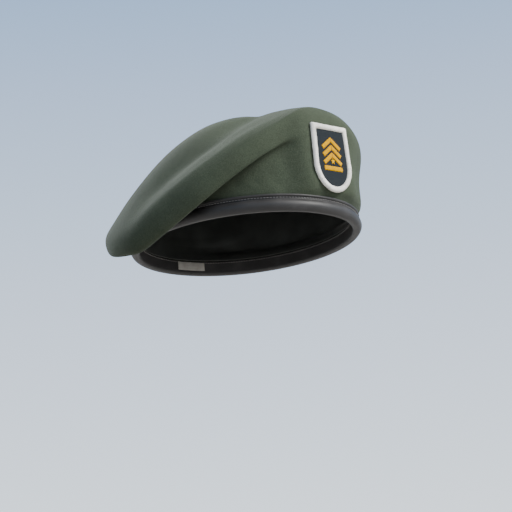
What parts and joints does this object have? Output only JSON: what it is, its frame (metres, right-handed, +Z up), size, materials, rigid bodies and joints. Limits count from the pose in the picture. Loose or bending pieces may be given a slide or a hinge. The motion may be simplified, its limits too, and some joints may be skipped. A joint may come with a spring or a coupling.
{
  "type": "military beret",
  "caption": "Wool beret draped over the wearer's right side, with a leather edge binding, a lining and an embroidered shield-shaped cloth flash at the front left.",
  "frame": {"origin": "centre of the head opening, on the plane of the binding's lower edge", "axes": "+Z up, -Y towards the wearer's front, +X towards the wearer's left"},
  "size_m": [0.2004, 0.2247, 0.1174],
  "materials": {
    "wool": "green fulled wool felt, matte with a soft nap",
    "lining": "black satin lining",
    "leather": "black smooth leather, satin",
    "ribbon": "black woven draw ribbon",
    "binding_thread": "black sewing thread",
    "flash_white": "white merrowed thread",
    "flash_ground": "dark navy twill",
    "embroidery": "gold satin stitch",
    "tack_thread": "white sewing thread",
    "buckram": "stiffened buckram",
    "label": "plain woven label"
  },
  "bodies": {
    "root": {"crown_shell": "wool", "lining_side": "lining", "lining_top": "lining", "leather_binding": "leather", "draw_ribbon": "ribbon", "size_label": "label", "binding_stitches_outer": "binding_thread", "binding_stitches_inner": "binding_thread", "flash_backing": "flash_white", "flash_ground": "flash_ground", "flash_border": "flash_white", "chevron_upper": "embroidery", "chevron_middle": "embroidery", "chevron_lower": "embroidery", "flash_star": "embroidery", "flash_bar": "embroidery", "flash_stiffener": "buckram", "flash_tacks": "tack_thread"}
  },
  "joints": []
}
